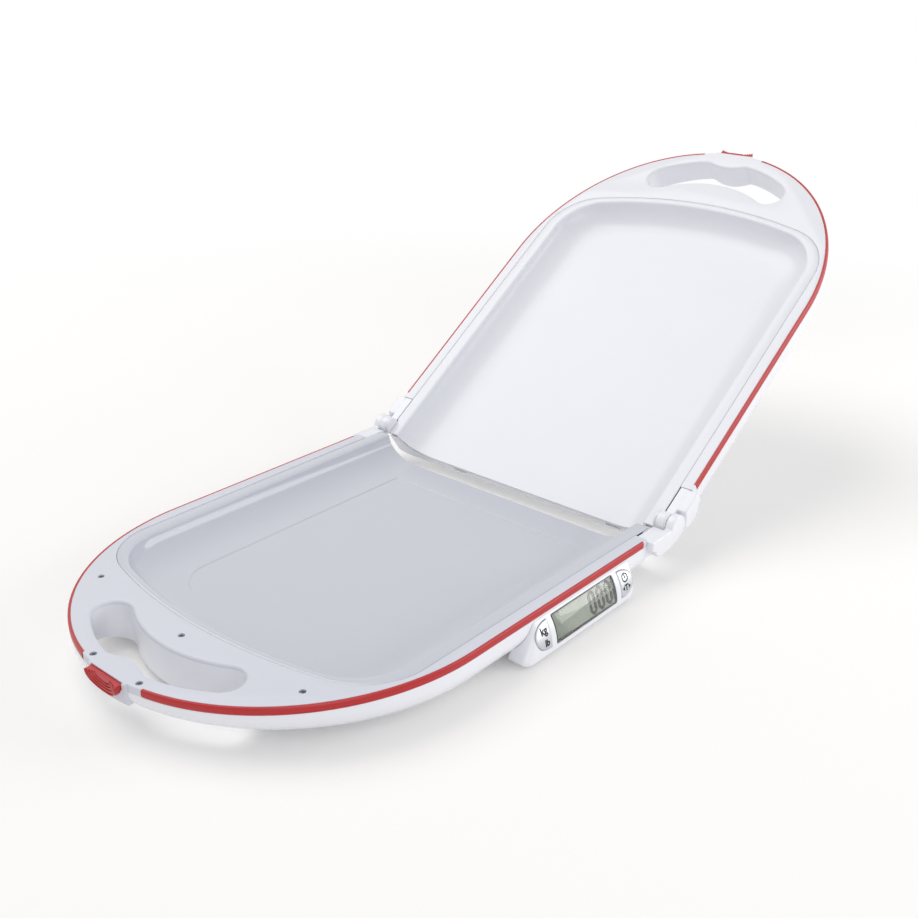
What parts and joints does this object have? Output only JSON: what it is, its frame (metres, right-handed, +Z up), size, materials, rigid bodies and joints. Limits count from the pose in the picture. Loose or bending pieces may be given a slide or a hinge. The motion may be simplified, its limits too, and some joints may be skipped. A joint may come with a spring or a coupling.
{
  "type": "digital baby weighing scale",
  "caption": "Folding digital baby weighing scale: two rounded tray halves on side hinges, hand holes at both ends and a display with keys on one side.",
  "frame": {"origin": "on the floor that the foot pads stand on, under the middle of the box round the whole object", "axes": "+Z up; +X from the base half through the hinge to the lid half, the scale's length; -Y the side that carries the display"},
  "size_m": [0.7306, 0.3134, 0.2509],
  "materials": {
    "white_gloss": "smooth moulded",
    "tray_gloss": "polished moulded",
    "deck_satin": "fine satin moulded",
    "red_trim": "glossy moulded",
    "zinc_screw": "zinc plated",
    "cell_steel": "plain",
    "weight_steel": "rolled plate",
    "foot_plastic": "moulded",
    "foot_rubber": "matt",
    "washer_nylon": "moulded",
    "lens_clear": "clear moulded window",
    "lcd_grey": "display glass",
    "board_green": "lacquered board",
    "switch_black": "moulded",
    "key_silver": "silver lacquer",
    "wire_sleeve": "wire insulation",
    "battery_can": "sleeved cell"
  },
  "bodies": {
    "base": {"base_shell": "white_gloss", "base_deck": "deck_satin", "base_tray": "tray_gloss", "base_trim_band": "red_trim", "base_deck_screws": "zinc_screw", "base_case_screws": "zinc_screw", "base_load_cells": "cell_steel", "base_feet": "foot_plastic", "base_foot_pads": "foot_rubber", "base_counterweights": "weight_steel", "base_latch_spring": "cell_steel", "base_hinge_arms": "white_gloss", "hinge_pins": "cell_steel", "hinge_washers": "washer_nylon", "display_housing": "white_gloss", "display_lens": "lens_clear", "lcd_panel": "lcd_grey", "main_circuit_board": "board_green", "key_switches": "switch_black", "base_wiring": "wire_sleeve", "battery_cradle": "washer_nylon", "battery_contacts": "cell_steel", "batteries": "battery_can"},
    "lid": {"lid_shell": "white_gloss", "lid_deck": "deck_satin", "lid_tray": "tray_gloss", "lid_trim_band": "red_trim", "lid_case_screws": "zinc_screw", "lid_load_cells": "cell_steel", "lid_feet": "foot_plastic", "lid_foot_pads": "foot_rubber", "lid_latch_spring": "cell_steel", "lid_hinge_arms": "white_gloss", "lid_wiring": "wire_sleeve"},
    "base_latch": {"base_latch_button": "red_trim"},
    "lid_latch": {"lid_latch_button": "red_trim"},
    "power_key": {"power_key": "key_silver"},
    "unit_key": {"unit_key": "key_silver"},
    "battery_door": {"battery_door": "white_gloss"}
  },
  "joints": [
    {"name": "lid_hinge", "type": "hinge", "parent": "base", "child": "lid", "pos_m": [0.02973, 0.0015, 0.0354], "axis": [0, -1, 0], "range_deg": [-33.3, 146.7]},
    {"name": "base_latch_press", "type": "slide", "parent": "base", "child": "base_latch", "axis": [1, 0, 0], "range_m": [0, 0.003], "stiffness_N_per_m": 600, "springref_m": -0.001},
    {"name": "lid_latch_press", "type": "slide", "parent": "lid", "child": "lid_latch", "axis": [-0.8358, 0, -0.549], "range_m": [0, 0.003], "stiffness_N_per_m": 600, "springref_m": -0.001},
    {"name": "power_key_press", "type": "slide", "parent": "base", "child": "power_key", "axis": [0, 0.9449, -0.3272], "range_m": [0, 0.0008], "stiffness_N_per_m": 1500, "springref_m": -0.0003},
    {"name": "unit_key_press", "type": "slide", "parent": "base", "child": "unit_key", "axis": [0, 0.9449, -0.3272], "range_m": [0, 0.0008], "stiffness_N_per_m": 1500, "springref_m": -0.0003},
    {"name": "battery_door_pull", "type": "slide", "parent": "base", "child": "battery_door", "axis": [0, 0, -1], "range_m": [0, 0.02]}
  ]
}
